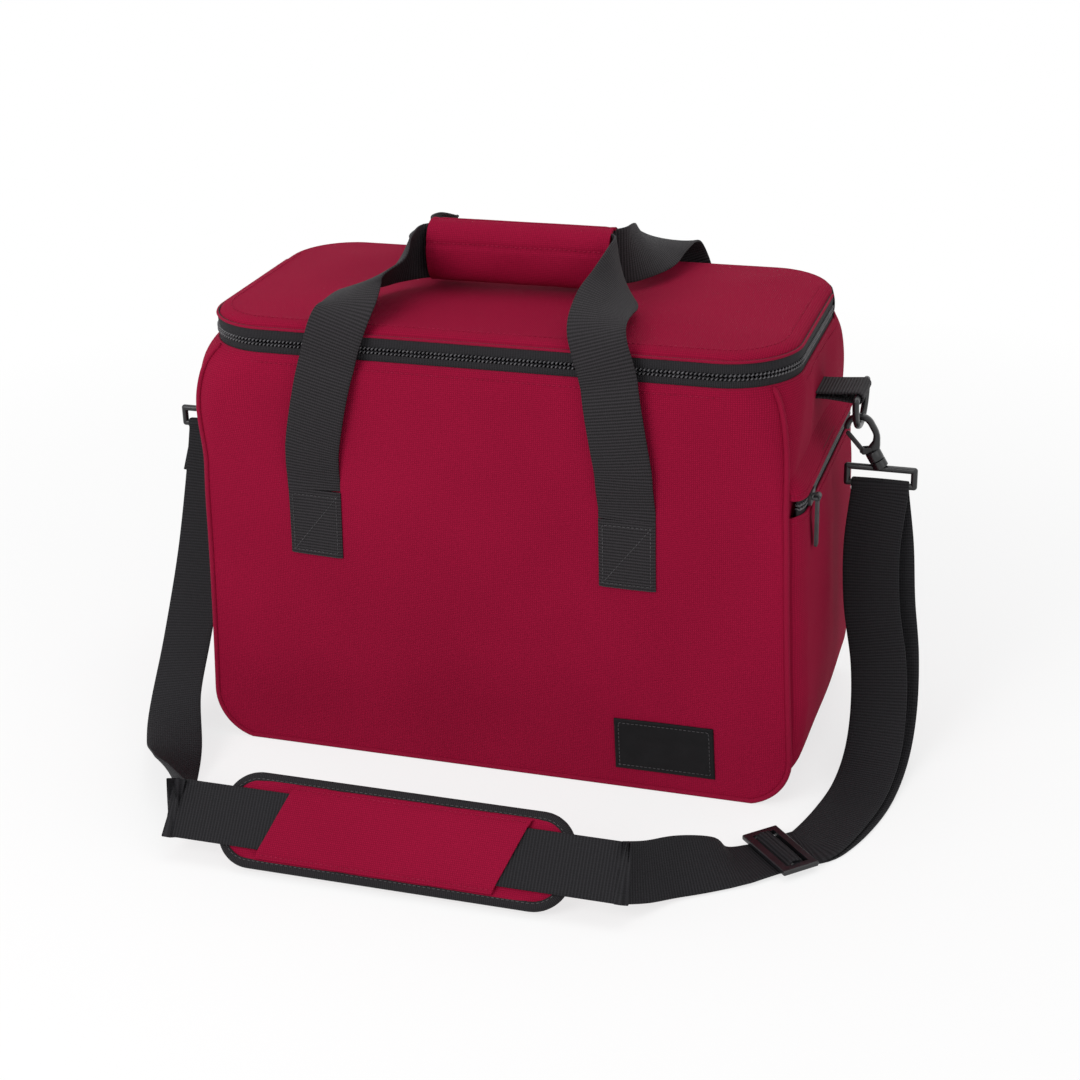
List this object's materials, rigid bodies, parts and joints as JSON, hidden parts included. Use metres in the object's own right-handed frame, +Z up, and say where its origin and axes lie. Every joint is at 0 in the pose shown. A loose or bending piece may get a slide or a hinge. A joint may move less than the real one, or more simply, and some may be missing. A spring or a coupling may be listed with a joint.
{
  "type": "insulated cooler bag",
  "caption": "Soft insulated lunch cooler with a zipped lid, joined carry handles, a zipped side pocket and a padded shoulder strap on swivel hooks.",
  "frame": {"origin": "centre of the base panel's underside, on the floor", "axes": "+X across the front to the pocket side, +Y from front to back, +Z up"},
  "size_m": [0.5468, 0.3719, 0.3585],
  "materials": {
    "shell_fabric": "woven polyester twill, crimson",
    "piping_fabric": "bias-cut polyester over a cord, crimson",
    "insulation_foam": "closed-cell foam, off-white",
    "stiffener_board": "hollow board, dark grey",
    "lining_film": "heat-sealed film, silver grey",
    "binding_tape": "grosgrain tape, black",
    "zip_tape": "knitted tape with a moulded coil, black",
    "zip_metal": "die-cast, black paint",
    "webbing": "ribbed polypropylene webbing, charcoal black",
    "hook_and_loop": "hook and loop strip, black",
    "moulded_plastic": "injection moulded acetal, satin black",
    "label_rubber": "moulded soft label with a raised edge, black"
  },
  "bodies": {
    "bag": {"front_panel": "shell_fabric", "back_panel": "shell_fabric", "base_panel": "shell_fabric", "gusset_left": "shell_fabric", "gusset_right": "shell_fabric", "piping_front": "piping_fabric", "piping_back": "piping_fabric", "foam_front": "insulation_foam", "foam_back": "insulation_foam", "foam_left": "insulation_foam", "foam_right": "insulation_foam", "foam_base": "insulation_foam", "base_board": "stiffener_board", "liner": "lining_film", "rim_binding": "binding_tape", "zip_chain_body": "zip_tape", "pocket_panel": "shell_fabric", "pocket_facing": "shell_fabric", "pocket_chain_lower": "zip_tape", "pocket_chain_upper": "zip_tape", "front_anchor_left": "webbing", "front_anchor_right": "webbing", "back_anchor_left": "webbing", "back_anchor_right": "webbing", "strap_loop_left": "webbing", "strap_loop_right": "webbing", "label_patch": "label_rubber"},
    "lid": {"lid_cover": "shell_fabric", "lid_foam": "insulation_foam", "lid_liner": "lining_film", "lid_hinge_strip": "binding_tape", "zip_chain_lid": "zip_tape"},
    "zip_slider": {"zip_slider": "zip_metal"},
    "zip_pull": {"zip_pull": "zip_metal"},
    "pocket_slider": {"pocket_slider": "zip_metal"},
    "pocket_pull": {"pocket_pull": "zip_metal"},
    "front_handle": {"front_handle_webbing": "webbing", "grip_wrap_front": "shell_fabric", "grip_hook_strip": "hook_and_loop"},
    "back_handle": {"back_handle_webbing": "webbing", "grip_wrap_back": "shell_fabric", "grip_loop_strip": "hook_and_loop"},
    "d_ring_left": {"d_ring_left": "moulded_plastic"},
    "d_ring_right": {"d_ring_right": "moulded_plastic"},
    "strap": {"swivel_frame_left": "moulded_plastic", "swivel_frame_right": "moulded_plastic", "strap_right_drop": "webbing", "strap_right_return": "webbing", "strap_right_floor": "webbing", "strap_left_run": "webbing", "strap_pad_run": "webbing", "strap_slider": "moulded_plastic"},
    "hook_left": {"hook_left": "moulded_plastic"},
    "hook_right": {"hook_right": "moulded_plastic"},
    "gate_left": {"hook_gate_left": "moulded_plastic"},
    "gate_right": {"hook_gate_right": "moulded_plastic"},
    "pad": {"pad_base": "shell_fabric", "pad_binding": "binding_tape", "pad_sleeve": "shell_fabric"}
  },
  "joints": [
    {"name": "lid_hinge", "type": "hinge", "parent": "bag", "child": "lid", "pos_m": [0, 0.1025, 0.2896], "axis": [-1, 0, 0], "range_deg": [0, 50]},
    {"name": "front_handle_fold", "type": "hinge", "parent": "bag", "child": "front_handle", "pos_m": [0, -0.1044, 0.1973], "axis": [1, 0, 0], "range_deg": [0, 150]},
    {"name": "back_handle_fold", "type": "hinge", "parent": "bag", "child": "back_handle", "pos_m": [0, 0.1044, 0.1973], "axis": [-1, 0, 0], "range_deg": [0, 150]},
    {"name": "zip_slide", "type": "slide", "parent": "bag", "child": "zip_slider", "axis": [0, -1, 0], "range_m": [0, 0.11]},
    {"name": "zip_pull_hinge", "type": "hinge", "parent": "zip_slider", "child": "zip_pull", "pos_m": [-0.20445, 0.0555, 0.2965], "axis": [0, 1, 0], "range_deg": [0, 80]},
    {"name": "pocket_slide", "type": "slide", "parent": "bag", "child": "pocket_slider", "axis": [0, 1, 0], "range_m": [0, 0.146]},
    {"name": "pocket_pull_hinge", "type": "hinge", "parent": "pocket_slider", "child": "pocket_pull", "pos_m": [0.21345, -0.073, 0.212], "axis": [0, -1, 0], "range_deg": [0, 80]},
    {"name": "d_ring_left_tilt", "type": "hinge", "parent": "bag", "child": "d_ring_left", "pos_m": [-0.228, 0, 0.259], "axis": [0, 1, 0], "range_deg": [-3, 3]},
    {"name": "d_ring_right_tilt", "type": "hinge", "parent": "bag", "child": "d_ring_right", "pos_m": [0.228, 0, 0.259], "axis": [0, 1, 0], "range_deg": [-3, 3]},
    {"name": "strap_swing", "type": "hinge", "parent": "bag", "child": "strap", "pos_m": [0, 0, 0.259], "axis": [-1, 0, 0], "range_deg": [0, 60]},
    {"name": "hook_left_swivel", "type": "hinge", "parent": "strap", "child": "hook_left", "pos_m": [-0.228, 0, 0.23255], "axis": [0.5, 0, 0.866], "range_deg": [-8, 8]},
    {"name": "hook_right_swivel", "type": "hinge", "parent": "strap", "child": "hook_right", "pos_m": [0.228, 0, 0.23255], "axis": [-0.5, 0, 0.866], "range_deg": [-8, 8]},
    {"name": "gate_left_press", "type": "hinge", "parent": "hook_left", "child": "gate_left", "pos_m": [-0.23049, 0, 0.21724], "axis": [0, -1, 0], "range_deg": [0, 15], "stiffness_Nm_per_rad": 0.01},
    {"name": "gate_right_press", "type": "hinge", "parent": "hook_right", "child": "gate_right", "pos_m": [0.23049, 0, 0.21724], "axis": [0, 1, 0], "range_deg": [0, 15], "stiffness_Nm_per_rad": 0.01},
    {"name": "pad_slide", "type": "slide", "parent": "strap", "child": "pad", "axis": [1, 0, 0], "range_m": [-0.02, 0.02]}
  ],
  "couplings": [
    {"joint": "front_handle_fold", "follows": "lid_hinge", "ratio": 3},
    {"joint": "back_handle_fold", "follows": "lid_hinge", "ratio": 3}
  ]
}
